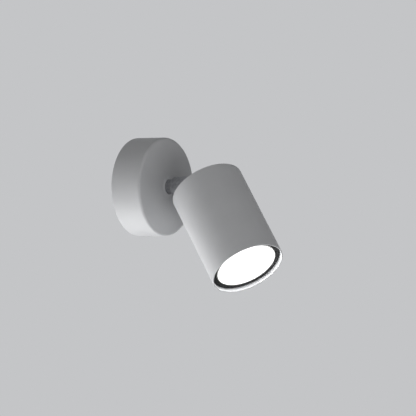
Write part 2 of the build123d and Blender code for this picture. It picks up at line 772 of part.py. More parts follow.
def make_led_chips():
    chip = Pos(led_circle, 0, led_board_front + led_height / 2) * Box(led_size, led_size, led_height)
    return [Rot(0, 0, 360 / led_count * index) * chip for index in range(led_count)]


def make_driver_board():
    rear = lamp_back + lamp_base_floor
    front = led_board_back - contact_gap
    board = box(centred(driver_board_width), centred(driver_board_thickness), (rear, front))
    parts_rear = rear + driver_part_margin
    parts_length = front - driver_front_margin - parts_rear
    pitch = (parts_length + driver_part_gap) / len(driver_part_heights)
    for index, height in enumerate(driver_part_heights):
        low = parts_rear + pitch * index
        board += box(centred(driver_part_width), (0, driver_board_thickness / 2 + height),
                     (low, low + pitch - driver_part_gap))
    return board


# ---------------------------------------------------------------- leads
def make_twin_leads():
    """The twin lead from the rose through neck, arm and knuckle into the head, in the arm frame.
    It is cut at the end of the neck's spigot, with a small gap, and at the knuckle's middle plane,
    so that each stretch turns with the piece that holds it."""
    side_x, side_y, side_z = 2.2, -2.3, 8.8
    turn_y, turn_z = -3.18, 3.53
    bore_x, bore_y, bore_z = 1.4, -1.4, 12.4
    start = (0, 0, neck_end - twin_lead_proud)
    in_arm = [(-bore_x, bore_y, -bore_z), (-side_x, side_y, -side_z), (-side_x, turn_y, -turn_z)]
    in_head = [(side_x, turn_y, turn_z), (side_x, side_y, side_z), (bore_x, bore_y, bore_z),
               (0, 0, head_thread_end - 1.5), (0, 0, head_thread_end + contact_gap)]
    points = [start, (0, 0, spigot_end + 0.5)]
    points += [(Pos(0, 0, pivot_height) * Pos(*point)).position for point in in_arm]
    points += [(head_in_arm * Pos(*point)).position for point in in_head]
    whole = lead(points, twin_lead_radius)
    far = 3 * pivot_height
    beyond_neck = box(centred(far), centred(far), (spigot_end, far))
    beyond_gap = box(centred(far), centred(far), (spigot_end + contact_gap, far))
    head_region = box((0, far), centred(far), (pivot_height - side_z, far))
    head_region += head_in_arm * box(centred(far), centred(far), (side_z, far))
    return whole - beyond_neck, (whole & beyond_gap) - head_region, whole & head_region


def make_supply_cores():
    """The two single leads from the twin lead's end to the outer ways of the terminal block."""
    low = sleeve_axis - sleeve_bore_radius + core_radius + contact_gap
    mouth = block_centre_y + block_width / 2
    split = (Rot(0, 0, pan_angle) * Pos(core_radius + contact_gap, 0, 0)).position
    end = neck_end - twin_lead_proud
    cores = []
    for side in (-1, 1):
        points = [(side * split.X, side * split.Y, end),
                  (side * split.X, side * split.Y, end - core_run_out),
                  (side * way_pitch * 0.55, 0.35 * mouth, core_high_bend),
                  (side * way_pitch, 0.75 * mouth, core_low_bend),
                  (side * way_pitch, mouth - core_run_in, low),
                  (side * way_pitch, mouth - core_in_sleeve, low)]
        cores.append(lead(points, core_radius))
    return cores


def make_earth_core():
    low = sleeve_axis - sleeve_bore_radius + earth_core_radius + contact_gap
    mouth = block_centre_y + block_width / 2
    _, lug_y, lug_z = lug_mouth
    points = [(0, mouth - core_in_sleeve, low), (0, mouth + core_run_in, low),
              (earth_lead_bend_1[0], mouth + earth_lead_bend_1[1], earth_lead_height),
              (earth_lead_bend_2[0], mouth + earth_lead_bend_2[1], earth_lead_height),
              (earth_x - earth_lead_side_step, lug_y - earth_lead_drop, lug_z),
              (earth_x, lug_y - earth_lead_run_in, lug_z), (earth_x, lug_y + earth_in_lug, lug_z)]
    return lead(points, earth_core_radius)


def make_holder_cores():
    """The two single leads from the twin lead's end to the holder's contacts, in the head frame."""
    start = head_thread_end + contact_gap
    split = core_radius + contact_gap
    points = [(split, 0, start), (split + 0.3, 0, start + 1.5), (pin_circle - 0.4, 0, holder_seat - 1.2),
              (pin_circle, 0, holder_seat + 0.4), (pin_circle, 0, holder_body_seat)]
    core = lead(points, core_radius)
    return [core, Rot(0, 0, 180) * core]


# ---------------------------------------------------------------- output
os.makedirs("parts", exist_ok=True)


def save(node, frame, shapes):
    """Place a node's pieces in the row frame and write them as one file."""
    pieces = shapes if isinstance(shapes, list) else [shapes]
    solids = [solid for piece in pieces for solid in (frame * piece).solids()]
    export_step(Compound(solids), f"parts/{node}.step")


neck_lead, arm_lead, knuckle_lead = make_twin_leads()
in_wall_frame = Rot(0, 0, pan_angle)
in_head_frame = head_in_arm.inverse()

save("mounting_plate", wall_frame, make_mounting_plate())
save("cable_bush", wall_frame, make_cable_bush())
save("rose_cover", wall_frame, make_rose_cover())
save("cover_screws", wall_frame, make_cover_screws())
save("terminal_block", wall_frame, make_terminal_block())
save("terminal_sleeves", wall_frame, make_terminal_sleeves())
save("terminal_screws", wall_frame, make_terminal_screws())
save("block_screw", wall_frame, make_block_screw())
save("earth_tooth_washer", wall_frame, make_earth_washer())
save("earth_screw", wall_frame, make_earth_screw())
save("earth_lug", wall_frame, make_earth_lug())
save("earth_lead", wall_frame, make_earth_core())
save("neck", wall_frame, make_neck())
save("rose_lock_washer", wall_frame, make_lock_washer(rose_washer_seat))
save("rose_lock_nut", wall_frame, make_lock_nut(rose_nut_seat))
save("pan_washer", wall_frame, make_pan_washer())
save("rose_leads", wall_frame, [in_wall_frame * neck_lead] + make_supply_cores())

save("arm_barrel", arm_frame, make_arm_barrel())
save("pan_grub_screw", arm_frame, make_grub_screw())
save("pivot_screw", arm_frame, make_pivot_screw())
save("pivot_nut", arm_frame, make_pivot_nut())
save("pivot_spring_washer", arm_frame, make_pivot_washer())
save("friction_ring", arm_frame, make_friction_ring())
save("arm_lead", arm_frame, arm_lead)

save("head_knuckle", head_frame, make_head_knuckle())
save("back_plate", head_frame, make_back_plate())
save("head_tube", head_frame, make_head_tube())
save("lamp_ring", head_frame, make_lamp_ring())
save("holder_bracket", head_frame, make_holder_bracket())
save("head_lock_washer", head_frame, make_lock_washer(bracket_front))
save("head_lock_nut", head_frame, make_lock_nut(head_nut_seat))
save("holder_body", head_frame, make_holder_body())
save("holder_cover", head_frame, make_holder_cover())
save("holder_contacts", head_frame, make_holder_contacts())
save("holder_screws", head_frame, make_holder_screws())
save("head_leads", head_frame, [in_head_frame * knuckle_lead] + make_holder_cores())

save("lamp_base", head_frame, make_lamp_base())
save("lamp_pins", head_frame, make_lamp_pins())
save("lamp_housing", head_frame, make_lamp_housing())
save("lamp_lens", head_frame, rod(lens_radius, lens_back, lens_front))
save("led_board", head_frame, make_led_board())
save("led_chips", head_frame, make_led_chips())
save("driver_board", head_frame, make_driver_board())
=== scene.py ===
# %% [markdown]
# # A pivoting spotlight wall light
# A round rose hides the wiring on the wall. A short metal arm turns in the rose's centre, and a plain
# round head tilts on the arm's end, with a lit reflector lamp just behind its rim.
# The real light is made of pressed steel, two small castings and a bought-in lamp and lamp holder.
# Its solids come from a CAD model that is loaded as a fixed frame. This script gives each of them its real
# finish, and models again the pieces whose edges or curves need more than the CAD model holds.

# %% Load the frame
import json
import math

import bmesh
import bpy
from mathutils import Matrix, Vector

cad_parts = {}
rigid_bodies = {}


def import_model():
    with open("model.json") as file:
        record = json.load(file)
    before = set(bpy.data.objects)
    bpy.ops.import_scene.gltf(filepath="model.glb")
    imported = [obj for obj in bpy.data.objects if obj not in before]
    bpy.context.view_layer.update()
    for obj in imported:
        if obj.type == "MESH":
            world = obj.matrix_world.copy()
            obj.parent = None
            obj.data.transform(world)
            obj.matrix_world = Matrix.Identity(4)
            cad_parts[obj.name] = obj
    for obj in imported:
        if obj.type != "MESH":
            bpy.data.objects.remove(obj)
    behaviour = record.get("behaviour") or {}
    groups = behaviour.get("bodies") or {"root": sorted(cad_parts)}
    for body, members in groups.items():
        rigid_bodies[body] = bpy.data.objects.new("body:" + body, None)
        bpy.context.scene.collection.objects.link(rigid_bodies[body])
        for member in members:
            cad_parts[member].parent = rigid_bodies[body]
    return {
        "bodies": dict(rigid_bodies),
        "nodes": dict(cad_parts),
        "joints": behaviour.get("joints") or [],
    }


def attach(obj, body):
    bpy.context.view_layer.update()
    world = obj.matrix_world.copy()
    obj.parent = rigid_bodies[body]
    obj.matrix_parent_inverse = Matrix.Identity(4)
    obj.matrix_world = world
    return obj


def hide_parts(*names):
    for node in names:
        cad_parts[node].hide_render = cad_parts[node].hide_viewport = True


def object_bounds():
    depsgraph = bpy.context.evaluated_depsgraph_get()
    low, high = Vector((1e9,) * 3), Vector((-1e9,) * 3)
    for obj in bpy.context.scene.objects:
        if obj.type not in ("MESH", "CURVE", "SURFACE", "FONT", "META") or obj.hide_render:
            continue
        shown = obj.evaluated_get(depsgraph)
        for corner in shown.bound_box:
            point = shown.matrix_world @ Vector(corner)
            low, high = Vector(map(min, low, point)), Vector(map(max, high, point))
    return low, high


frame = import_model()
cad_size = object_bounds()
bpy.ops.object.select_all(action="DESELECT")
mm = 0.001
for body, empty in frame["bodies"].items():
    print(f"body {body}: {len(empty.children)} CAD nodes")

# %% [markdown]
# ## Camera
# The photograph was taken from the front left, level with the light, with a long lens. The camera stands
# where a fit of the rims and outlines in the photograph puts it. It could be set by eye, but round rims show
# a wrong angle at once, so the fitted numbers are used as they came out.

# %% Camera
camera_place = (-2.027, -1.375, -0.041)
camera_yaw = 57.16
camera_pitch = 0.56
camera_lens = 259.6

camera_data = bpy.data.cameras.new("camera")
camera_data.lens = camera_lens
camera_data.sensor_width = 36
camera_data.clip_end = 60
camera = bpy.data.objects.new("camera", camera_data)
camera.location = camera_place
camera.rotation_euler = (math.radians(90 + camera_pitch), 0, math.radians(-camera_yaw))
bpy.context.scene.collection.objects.link(camera)
bpy.context.scene.camera = camera
print(f"camera {Vector(camera_place).length:.2f} m away")

# %% [markdown]
# ## Colours and nodes
# Colours are written as the screen shows them and turned to the linear values that Blender mixes with.
# One function adds a shader node with its settings, its input values and what feeds it. Patterns read
# Object coordinates, which are metres here, so a pattern's scale is one over its real size. They could be
# painted images, but patterns worked out from real sizes need no unwrapping and hold at any distance.

# %% Colour and node helpers
def linear(hex_colour):
    """Linear red, green, blue and alpha of an sRGB colour written as #RRGGBB."""
    parts = [int(hex_colour[start:start + 2], 16) / 255 for start in (1, 3, 5)]
    return [p / 12.92 if p <= 0.04045 else ((p + 0.055) / 1.055) ** 2.4 for p in parts] + [1.0]


def add_node(tree, kind, values=(), links=(), **settings):
    """Add a node: settings are its options, values fill its inputs and links feed them."""
    node = tree.nodes.new(kind)
    for option, choice in settings.items():
        setattr(node, option, choice)
    for socket, value in dict(values).items():
        node.inputs[socket].default_value = value
    for socket, source in dict(links).items():
        tree.links.new(source, node.inputs[socket])
    return node


def start_finish(name, roughness, metallic=0.0, ior=1.5):
    """A material with its shader and the object coordinates that its patterns read."""
    material = bpy.data.materials.new(name)
    material.use_nodes = True
    tree = material.node_tree
    shader = tree.nodes["Principled BSDF"]
    shader.inputs["Roughness"].default_value = roughness
    shader.inputs["Metallic"].default_value = metallic
    shader.inputs["IOR"].default_value = ior
    place = add_node(tree, "ShaderNodeTexCoord").outputs["Object"]
    return material, tree, shader, place


def per_metre(size_mm):
    """Scale of a pattern whose features are this many millimetres wide."""
    return 1000 / size_mm


def wear_finish(nodes, material):
    """Give CAD nodes their finish."""
    for node in nodes:
        for slot in frame["nodes"][node].material_slots:
            slot.material = material
    print(f"{material.name}: {', '.join(nodes)}")


# %% [markdown]
# ## White powder coat
# The rose cover, the head's tube and its back plate are pressed steel with a fine matt powder coat.
# The powder melts into an even skin, which leaves a very slight orange peel, about 1.5 mm from crest to
# crest, and a soft, wide sheen. A plain white would do from afar, but close to, the peel is what makes
# it paint and not plastic. One noise draws the skin's height, and a wide, faint one its shade.

# %% White powder coat
powder_coat, tree, shader, place = start_finish("powder_coated_steel_white", roughness=0.55)
cloud = add_node(tree, "ShaderNodeTexNoise", {"Scale": per_metre(14), "Detail": 3.0}, {"Vector": place})
shade = add_node(tree, "ShaderNodeMix", {"A": linear("#CDCED0"), "B": linear("#D5D6D8")},
                 {"Factor": cloud.outputs["Fac"]}, data_type="RGBA")
tree.links.new(shade.outputs["Result"], shader.inputs["Base Color"])
peel = add_node(tree, "ShaderNodeTexNoise", {"Scale": per_metre(1.5), "Detail": 2.0}, {"Vector": place})
skin = add_node(tree, "ShaderNodeBump", {"Strength": 0.35, "Distance": 0.03 * mm},
                {"Height": peel.outputs["Fac"]})
tree.links.new(skin.outputs["Normal"], shader.inputs["Normal"])
wear_finish(["rose_cover", "cover_screws", "head_tube", "back_plate"], powder_coat)

# %% [markdown]
# ## Cast zinc
# The neck, the arm and the knuckle are zinc die castings, blasted and nickel plated to a satin grey.
# Blasting leaves small dull spots between brighter ones, so the metal looks mottled and not brushed.
# The real spots are about 0.3 mm, too fine for this picture, so they are drawn 1.8 mm wide. A metal's
# colour is the colour of its reflections, which is why the mottling is in colour and in roughness alike.

# %% Cast zinc
cast_zinc, tree, shader, place = start_finish("satin_plated_cast_zinc", roughness=0.42, metallic=1.0)
spots = add_node(tree, "ShaderNodeTexNoise", {"Scale": per_metre(1.8), "Detail": 2.0},
                 {"Vector": place})
spread = add_node(tree, "ShaderNodeMapRange", {"From Min": 0.38, "From Max": 0.62},
                  {"Value": spots.outputs["Fac"]})
shade = add_node(tree, "ShaderNodeMix", {"A": linear("#919295"), "B": linear("#A1A2A5")},
                 {"Factor": spread.outputs["Result"]}, data_type="RGBA")
tree.links.new(shade.outputs["Result"], shader.inputs["Base Color"])
dull = add_node(tree, "ShaderNodeMapRange", {"To Min": 0.48, "To Max": 0.42},
                {"Value": spread.outputs["Result"]})
tree.links.new(dull.outputs["Result"], shader.inputs["Roughness"])
skin = add_node(tree, "ShaderNodeBump", {"Strength": 0.12, "Distance": 0.03 * mm},
                {"Height": spots.outputs["Fac"]})
tree.links.new(skin.outputs["Normal"], shader.inputs["Normal"])
wear_finish(["neck"], cast_zinc)

# %% [markdown]
# ## Zinc-plated steel
# Screws, nuts, washers, the mounting plate and the lamp holder's bracket are steel with a thin coat of zinc.
# The coat is bright with a cool tint, faintly clouded where the bath left more of it, and has fine handling
# scratches. Clouds 6 mm wide give the tint, and a noise stretched along one axis gives the scratches. The
# scratches are really 0.05 mm wide and are drawn at 0.3 mm.

# %% Zinc-plated steel
zinc_plate, tree, shader, place = start_finish("zinc_plated_steel", roughness=0.34, metallic=1.0)
cloud = add_node(tree, "ShaderNodeTexNoise", {"Scale": per_metre(6), "Detail": 4.0}, {"Vector": place})
shade = add_node(tree, "ShaderNodeMix", {"A": linear("#A2A6AA"), "B": linear("#B4B8BA")},
                 {"Factor": cloud.outputs["Fac"]}, data_type="RGBA")
tree.links.new(shade.outputs["Result"], shader.inputs["Base Color"])
stretched = add_node(tree, "ShaderNodeMapping", {"Scale": (1.0, 1.0, 0.12), "Rotation": (0.4, 0.7, 0.2)},
                     {"Vector": place})
scratch = add_node(tree, "ShaderNodeTexNoise", {"Scale": per_metre(0.3), "Detail": 2.0},
                   {"Vector": stretched.outputs["Vector"]})
dull = add_node(tree, "ShaderNodeMapRange", {"To Min": 0.24, "To Max": 0.46},
                {"Value": scratch.outputs["Fac"]})
tree.links.new(dull.outputs["Result"], shader.inputs["Roughness"])
wear_finish(["mounting_plate", "terminal_screws", "block_screw", "earth_tooth_washer", "rose_lock_washer",
             "rose_lock_nut", "pan_grub_screw", "pivot_screw", "pivot_nut", "pivot_spring_washer",
             "holder_bracket", "head_lock_washer", "head_lock_nut", "holder_screws", "lamp_pins"], zinc_plate)

# %% [markdown]
# ## Brass and spring bronze
# The terminal sleeves, the earth screw and its lug are turned brass, left bare. The lamp holder's contacts
# are springs of phosphor bronze, which is redder. Both darken a little in patches where the air has worked
# on them. The two share a recipe, so one loop makes both with their own colours.

# %% Brass and spring bronze
for name, nodes, dark, light in (
        ("turned_brass", ["terminal_sleeves", "earth_screw", "earth_lug"], "#B08D4A", "#D6B56A"),
        ("phosphor_bronze_spring", ["holder_contacts"], "#9A6539", "#C98E5C")):
    copper_alloy, tree, shader, place = start_finish(name, roughness=0.3, metallic=1.0)
    patches = add_node(tree, "ShaderNodeTexNoise", {"Scale": per_metre(2.5), "Detail": 4.0},
                       {"Vector": place})
    shade = add_node(tree, "ShaderNodeMix", {"A": linear(dark), "B": linear(light)},
                     {"Factor": patches.outputs["Fac"]}, data_type="RGBA")
    tree.links.new(shade.outputs["Result"], shader.inputs["Base Color"])
    dull = add_node(tree, "ShaderNodeMapRange", {"To Min": 0.4, "To Max": 0.24},
                    {"Value": patches.outputs["Fac"]})
    tree.links.new(dull.outputs["Result"], shader.inputs["Roughness"])
    wear_finish(nodes, copper_alloy)

# %% [markdown]
# ## Moulded plastics
# The terminal block is polyamide, the two bearing rings are natural nylon, and the lamp's base and housing
# are PBT, a heat-proof plastic with a finer gloss. All are injection moulded: the colour goes right through,
# and the mould's spark-eroded skin leaves a fine grain. What differs is the tint, the gloss and the grain,
# so one table holds them. Light goes a little way into such plastics, which softens their shadows.

# %% Moulded plastics
for name, nodes, low, high, gloss, grain in (
        ("moulded_polyamide_white", ["terminal_block"], "#DAD8CF", "#E4E2DA", 0.48, 0.5),
        ("machined_natural_nylon", ["pan_washer", "friction_ring"], "#CFCCBF", "#DBD8CD", 0.42, 0.6),
        ("moulded_pbt_white", ["lamp_base", "lamp_housing"], "#DDDDDB", "#E8E8E6", 0.35, 0.4)):
    plastic, tree, shader, place = start_finish(name, roughness=gloss, ior=1.53)
    shader.inputs["Subsurface Weight"].default_value = 0.08
    shader.inputs["Subsurface Radius"].default_value = (1.0 * mm, 0.9 * mm, 0.8 * mm)
    shader.inputs["Subsurface Scale"].default_value = 1.0
    flow = add_node(tree, "ShaderNodeTexNoise", {"Scale": per_metre(8), "Detail": 2.0}, {"Vector": place})
    shade = add_node(tree, "ShaderNodeMix", {"A": linear(low), "B": linear(high)},
                     {"Factor": flow.outputs["Fac"]}, data_type="RGBA")
    tree.links.new(shade.outputs["Result"], shader.inputs["Base Color"])
    pits = add_node(tree, "ShaderNodeTexNoise", {"Scale": per_metre(grain), "Detail": 2.0}, {"Vector": place})
    skin = add_node(tree, "ShaderNodeBump", {"Strength": 0.25, "Distance": 0.02 * mm},
                    {"Height": pits.outputs["Fac"]})
    tree.links.new(skin.outputs["Normal"], shader.inputs["Normal"])
    wear_finish(nodes, plastic)

# %% [markdown]
# ## Glazed ceramic
# The lamp holder is steatite, a dense white ceramic that stands the lamp's heat. Its thin glaze is smooth
# and glossy over a warm, slightly speckled body. The speckles are drawn 0.8 mm wide, twice their real size,
# under a clear coat that stands for the glaze.

# %% Glazed ceramic
ceramic, tree, shader, place = start_finish("glazed_steatite_ceramic", roughness=0.45, ior=1.6)
shader.inputs["Coat Weight"].default_value = 0.6
shader.inputs["Coat Roughness"].default_value = 0.12
speckle = add_node(tree, "ShaderNodeTexNoise", {"Scale": per_metre(0.8), "Detail": 3.0}, {"Vector": place})
spread = add_node(tree, "ShaderNodeMapRange", {"From Min": 0.3, "From Max": 0.5},
                  {"Value": speckle.outputs["Fac"]})
shade = add_node(tree, "ShaderNodeMix", {"A": linear("#D3CCB9"), "B": linear("#E9E4D6")},
                 {"Factor": spread.outputs["Result"]}, data_type="RGBA")
tree.links.new(shade.outputs["Result"], shader.inputs["Base Color"])
wear_finish(["holder_body", "holder_cover"], ceramic)

# %% [markdown]
# ## Boards of the lamp
# The LEDs sit on an aluminium board with white solder mask, a slightly pebbled paint. Each LED is a chip
# under yellow phosphor, which is grainy. The driver's board is glass cloth in epoxy under green mask: the
# weave shows through as a faint check, drawn with two crossing waves. Real threads are about 0.5 mm apart. A
# wave along one axis has 20 radians a metre for each unit of its scale, so these come out 3.1 mm apart.

# %% Boards of the lamp
white_mask, tree, shader, place = start_finish("white_solder_mask_on_aluminium", roughness=0.4)
pebble = add_node(tree, "ShaderNodeTexNoise", {"Scale": per_metre(0.7), "Detail": 2.0}, {"Vector": place})
shade = add_node(tree, "ShaderNodeMix", {"A": linear("#D9DBD8"), "B": linear("#E9EAE7")},
                 {"Factor": pebble.outputs["Fac"]}, data_type="RGBA")
tree.links.new(shade.outputs["Result"], shader.inputs["Base Color"])
wear_finish(["led_board"], white_mask)

phosphor, tree, shader, place = start_finish("yellow_led_phosphor", roughness=0.6)
grain = add_node(tree, "ShaderNodeTexNoise", {"Scale": per_metre(0.4), "Detail": 3.0}, {"Vector": place})
shade = add_node(tree, "ShaderNodeMix", {"A": linear("#D9B32F"), "B": linear("#F0D45A")},
                 {"Factor": grain.outputs["Fac"]}, data_type="RGBA")
tree.links.new(shade.outputs["Result"], shader.inputs["Base Color"])
wear_finish(["led_chips"], phosphor)

thread_scale = 100.0
green_mask, tree, shader, place = start_finish("green_solder_mask_on_glass_epoxy", roughness=0.3)
threads = [add_node(tree, "ShaderNodeTexWave", {"Scale": thread_scale, "Distortion": 0.5},
                    {"Vector": place}, bands_direction=direction) for direction in ("X", "Z")]
weave = add_node(tree, "ShaderNodeMath", links={0: threads[0].outputs["Fac"], 1: threads[1].outputs["Fac"]},
                 operation="MULTIPLY")
shade = add_node(tree, "ShaderNodeMix", {"A": linear("#174A2E"), "B": linear("#25704A")},
                 {"Factor": weave.outputs["Value"]}, data_type="RGBA")
tree.links.new(shade.outputs["Result"], shader.inputs["Base Color"])
wear_finish(["driver_board"], green_mask)

# %% [markdown]
# ## Lead sleeves
# The leads to the lamp are covered in off-white silicone, which is matt and picks up dust. The earth lead
# has the green sleeve with a yellow stripe that marks earth wires everywhere. Its stripe is drawn as slanting
# bands across the lead, because the lead bends and a stripe along it would need its own map. A slanting wave
# has 10 radians a metre along each axis for each unit of its scale, so the bands are 22 mm apart.

# %% Lead sleeves
silicone, tree, shader, place = start_finish("silicone_lead_sleeve_white", roughness=0.6, ior=1.43)
dust = add_node(tree, "ShaderNodeTexNoise", {"Scale": per_metre(2), "Detail": 4.0}, {"Vector": place})
shade = add_node(tree, "ShaderNodeMix", {"A": linear("#C9C5BB"), "B": linear("#DEDAD1")},
                 {"Factor": dust.outputs["Fac"]}, data_type="RGBA")
tree.links.new(shade.outputs["Result"], shader.inputs["Base Color"])
wear_finish(["rose_leads", "arm_lead", "head_leads"], silicone)

earth_sleeve, tree, shader, place = start_finish("earth_lead_sleeve_green_yellow", roughness=0.45)
stripe_scale = 1000 / 60
bands = add_node(tree, "ShaderNodeTexWave", {"Scale": stripe_scale}, {"Vector": place},
                 bands_direction="DIAGONAL")
step = add_node(tree, "ShaderNodeMapRange", {"From Min": 0.45, "From Max": 0.55},
                {"Value": bands.outputs["Fac"]})
shade = add_node(tree, "ShaderNodeMix", {"A": linear("#3D8A2A"), "B": linear("#E3CF3A")},
                 {"Factor": step.outputs["Result"]}, data_type="RGBA")
tree.links.new(shade.outputs["Result"], shader.inputs["Base Color"])
wear_finish(["earth_lead"], earth_sleeve)

# %% [markdown]
# ## Places for new pieces
# A piece on the rose is modelled with its axis along Z and then laid so that Z points out of the wall. Edges
# and faces are picked by where they lie, within a tenth of a millimetre.
# A piece in the head is modelled along Z too, with the pivot at zero and Z along the lamp's beam, and then
# turned as the head is turned in the photograph. The head's turn comes from the frame's own joints and the
# wall's turn is given, so a new piece meets its neighbours without fitting. The turn is applied to the mesh,
# because a finished piece sits at the origin as the CAD nodes do.

# %% Places for new pieces
joints = {joint["name"]: joint for joint in frame["joints"]}
pin_axis = Vector(joints["head_tilt"]["axis"]).normalized()
beam_axis = Vector(joints["lamp_twist"]["axis"]).normalized()
side_axis = beam_axis.cross(pin_axis)
head_place = Matrix((pin_axis, side_axis, beam_axis)).transposed().to_4x4()
head_place.translation = Vector(joints["lamp_twist"]["pos_m"])
wall_place = Matrix(((1, 0, 0), (0, 0, -1), (0, 1, 0))).to_4x4()


merge_distance = 0.001 * mm
reach = 0.1
spin_steps = 128


def pick(kind, test):
    """In edit mode, select the verts, edges or faces whose middle (in mm) and normal pass a test."""
    bpy.ops.mesh.select_mode(type={"verts": "VERT", "edges": "EDGE", "faces": "FACE"}[kind])
    bpy.ops.mesh.select_all(action="DESELECT")
    mesh = bmesh.from_edit_mesh(bpy.context.object.data)
    for item in getattr(mesh, kind):
        corners = [item] if kind == "verts" else item.verts
        middle = sum((corner.co for corner in corners), Vector()) / len(corners) / mm
        if test(middle, item.normal if kind != "edges" else None):
            item.select_set(True)
    bmesh.update_edit_mesh(bpy.context.object.data)


def settle(name, place, body, node, material, smooth_angle=35):
    """Name the new piece, apply its place, smooth it, and let it stand for a CAD node."""
    piece = bpy.context.object
    piece.name = name
    piece.matrix_world = place @ piece.matrix_world
    bpy.ops.object.transform_apply(location=True, rotation=True, scale=True)
    bpy.ops.object.shade_smooth_by_angle(angle=math.radians(smooth_angle))
    piece.data.materials.clear()
    piece.data.materials.append(material)
    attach(piece, body)
    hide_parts(node)
    bpy.ops.object.select_all(action="DESELECT")
    print(f"{name}: {len(piece.data.polygons)} faces")


def spin_section():
    """Turn the flat section in edit mode about Z into a ring.

    Edges inside the section are turned too, and leave walls inside the ring.
    """
    bpy.ops.mesh.select_all(action="SELECT")
    bpy.ops.mesh.delete(type="ONLY_FACE")
    bpy.ops.mesh.select_all(action="SELECT")
    bpy.ops.mesh.spin(steps=spin_steps, angle=2 * math.pi, center=(0, 0, 0), axis=(0, 0, 1))
    bpy.ops.mesh.select_all(action="SELECT")
    bpy.ops.mesh.remove_doubles(threshold=merge_distance)
    bpy.ops.mesh.normals_make_consistent(inside=False)
    bpy.ops.object.mode_set(mode="OBJECT")


def add_section(x_span, z_span):
    """Add a flat rectangle in the XZ plane, in mm, and go to edit mode."""
    middle = (sum(x_span) / 2 * mm, 0, sum(z_span) / 2 * mm)
    bpy.ops.mesh.primitive_plane_add(size=1, location=middle, rotation=(math.pi / 2, 0, 0))
    bpy.ops.transform.resize(value=((x_span[1] - x_span[0]) * mm, 1, (z_span[1] - z_span[0]) * mm))
    bpy.ops.object.transform_apply(location=True, rotation=True, scale=True)
    bpy.ops.object.mode_set(mode="EDIT")


print(f"head's Z axis: {tuple(round(part, 3) for part in beam_axis)}")

# %% [markdown]
# ## Ring in the head's mouth
# A black plastic ring is pressed into the tube round the lamp. It centres the lamp and hides the gap.
# Its black is partly painted shade, standing for the shade of the deep gap round the lamp. Its section is an L:
# a flat flange towards the lamp and a skirt along the tube's wall, with rounded lips where the mould parts.
# It could be a pipe with a washer on it, but a spun section gives the round lip as well.
# The L is drawn as three rectangles. The two edges between them are spun as well, which is a fault: they
# leave two walls inside the ring. Dissolving those edges before the spin gives a closed ring without them.

# %% Ring in the head's mouth
# The ring's near-black colour is partly painted shade for the deep gap round the lamp.
black_plastic_and_gap_shade, tree, shader, place = start_finish("moulded_black_pbt", roughness=0.6, ior=1.55)
flow = add_node(tree, "ShaderNodeTexNoise", {"Scale": per_metre(5), "Detail": 2.0}, {"Vector": place})
shade = add_node(tree, "ShaderNodeMix", {"A": linear("#161616"), "B": linear("#1E1E1F")},
                 {"Factor": flow.outputs["Fac"]}, data_type="RGBA")
tree.links.new(shade.outputs["Result"], shader.inputs["Base Color"])
gloss = add_node(tree, "ShaderNodeMapRange", {"To Min": 0.55, "To Max": 0.68}, {"Value": flow.outputs["Fac"]})
tree.links.new(gloss.outputs["Result"], shader.inputs["Roughness"])

ring_inner, ring_outer = 25.25, 28.95
ring_back, flange_back, ring_front = 75.9, 80.4, 81.9
skirt_inner = 28.15
ring_lip = 0.45
add_section((skirt_inner, ring_outer), (ring_back, flange_back))
pick("edges", lambda middle, normal: middle.z > flange_back - reach)
bpy.ops.mesh.extrude_region_move(TRANSFORM_OT_translate={"value": (0, 0, (ring_front - flange_back) * mm)})
pick("edges", lambda middle, normal: middle.x < skirt_inner + reach and middle.z > flange_back + reach)
bpy.ops.mesh.extrude_region_move(TRANSFORM_OT_translate={"value": ((ring_inner - skirt_inner) * mm, 0, 0)})
pick("verts", lambda middle, normal: middle.x < ring_inner + reach)
bpy.ops.mesh.bevel(offset=ring_lip * mm, segments=4, affect="VERTICES")
spin_section()
settle("mouth_ring", head_place, "head", "lamp_ring", black_plastic_and_gap_shade)

# %% [markdown]
# ## The lamp's face
# The lamp's front is a disc of frosted polycarbonate, lit from behind by the LEDs and evenly bright. Its rim
# sits in the housing, a small step leads to the middle, and the middle is slightly domed. A disc is
# inset and moved a few times, which is how one would cut those rings by hand.

# %% The lamp's face
diffuser, tree, shader, place = start_finish("lit_frosted_polycarbonate", roughness=0.45, ior=1.585)
frost = add_node(tree, "ShaderNodeTexNoise", {"Scale": per_metre(0.8), "Detail": 2.0}, {"Vector": place})
shade = add_node(tree, "ShaderNodeMix", {"A": linear("#F2F2F0"), "B": linear("#FAFAF9")},
                 {"Factor": frost.outputs["Fac"]}, data_type="RGBA")
tree.links.new(shade.outputs["Result"], shader.inputs["Base Color"])
skin = add_node(tree, "ShaderNodeBump", {"Strength": 0.2, "Distance": 0.02 * mm},
                {"Height": frost.outputs["Fac"]})
tree.links.new(skin.outputs["Normal"], shader.inputs["Normal"])
shader.inputs["Emission Color"].default_value = linear("#FFFFFF")
shader.inputs["Emission Strength"].default_value = 1.2

face_radius = 24.3
face_back, face_front = 80.1, 82.1
face_edge = 0.2
face_steps = ((0.3, 0.0), (1.1, 0.0), (0.25, -0.35), (2.0, 0.12), (4.0, 0.16), (5.0, 0.12), (5.0, 0.06))
face_middle = (face_front + face_back) / 2
bpy.ops.mesh.primitive_cylinder_add(vertices=spin_steps, radius=face_radius * mm,
                                    depth=(face_front - face_back) * mm, location=(0, 0, face_middle * mm))
bpy.ops.object.mode_set(mode="EDIT")
pick("faces", lambda middle, normal: normal.z > 0.9)
for width, rise in face_steps:
    bpy.ops.mesh.inset(thickness=width * mm)
    bpy.ops.transform.translate(value=(0, 0, rise * mm))
pick("edges",
     lambda middle, normal: middle.z > face_front - 0.01 and middle.xy.length > face_radius - reach)
bpy.ops.mesh.bevel(offset=face_edge * mm, segments=3, affect="EDGES")
bpy.ops.object.mode_set(mode="OBJECT")
settle("lamp_face", head_place, "lamp", "lamp_lens", diffuser)

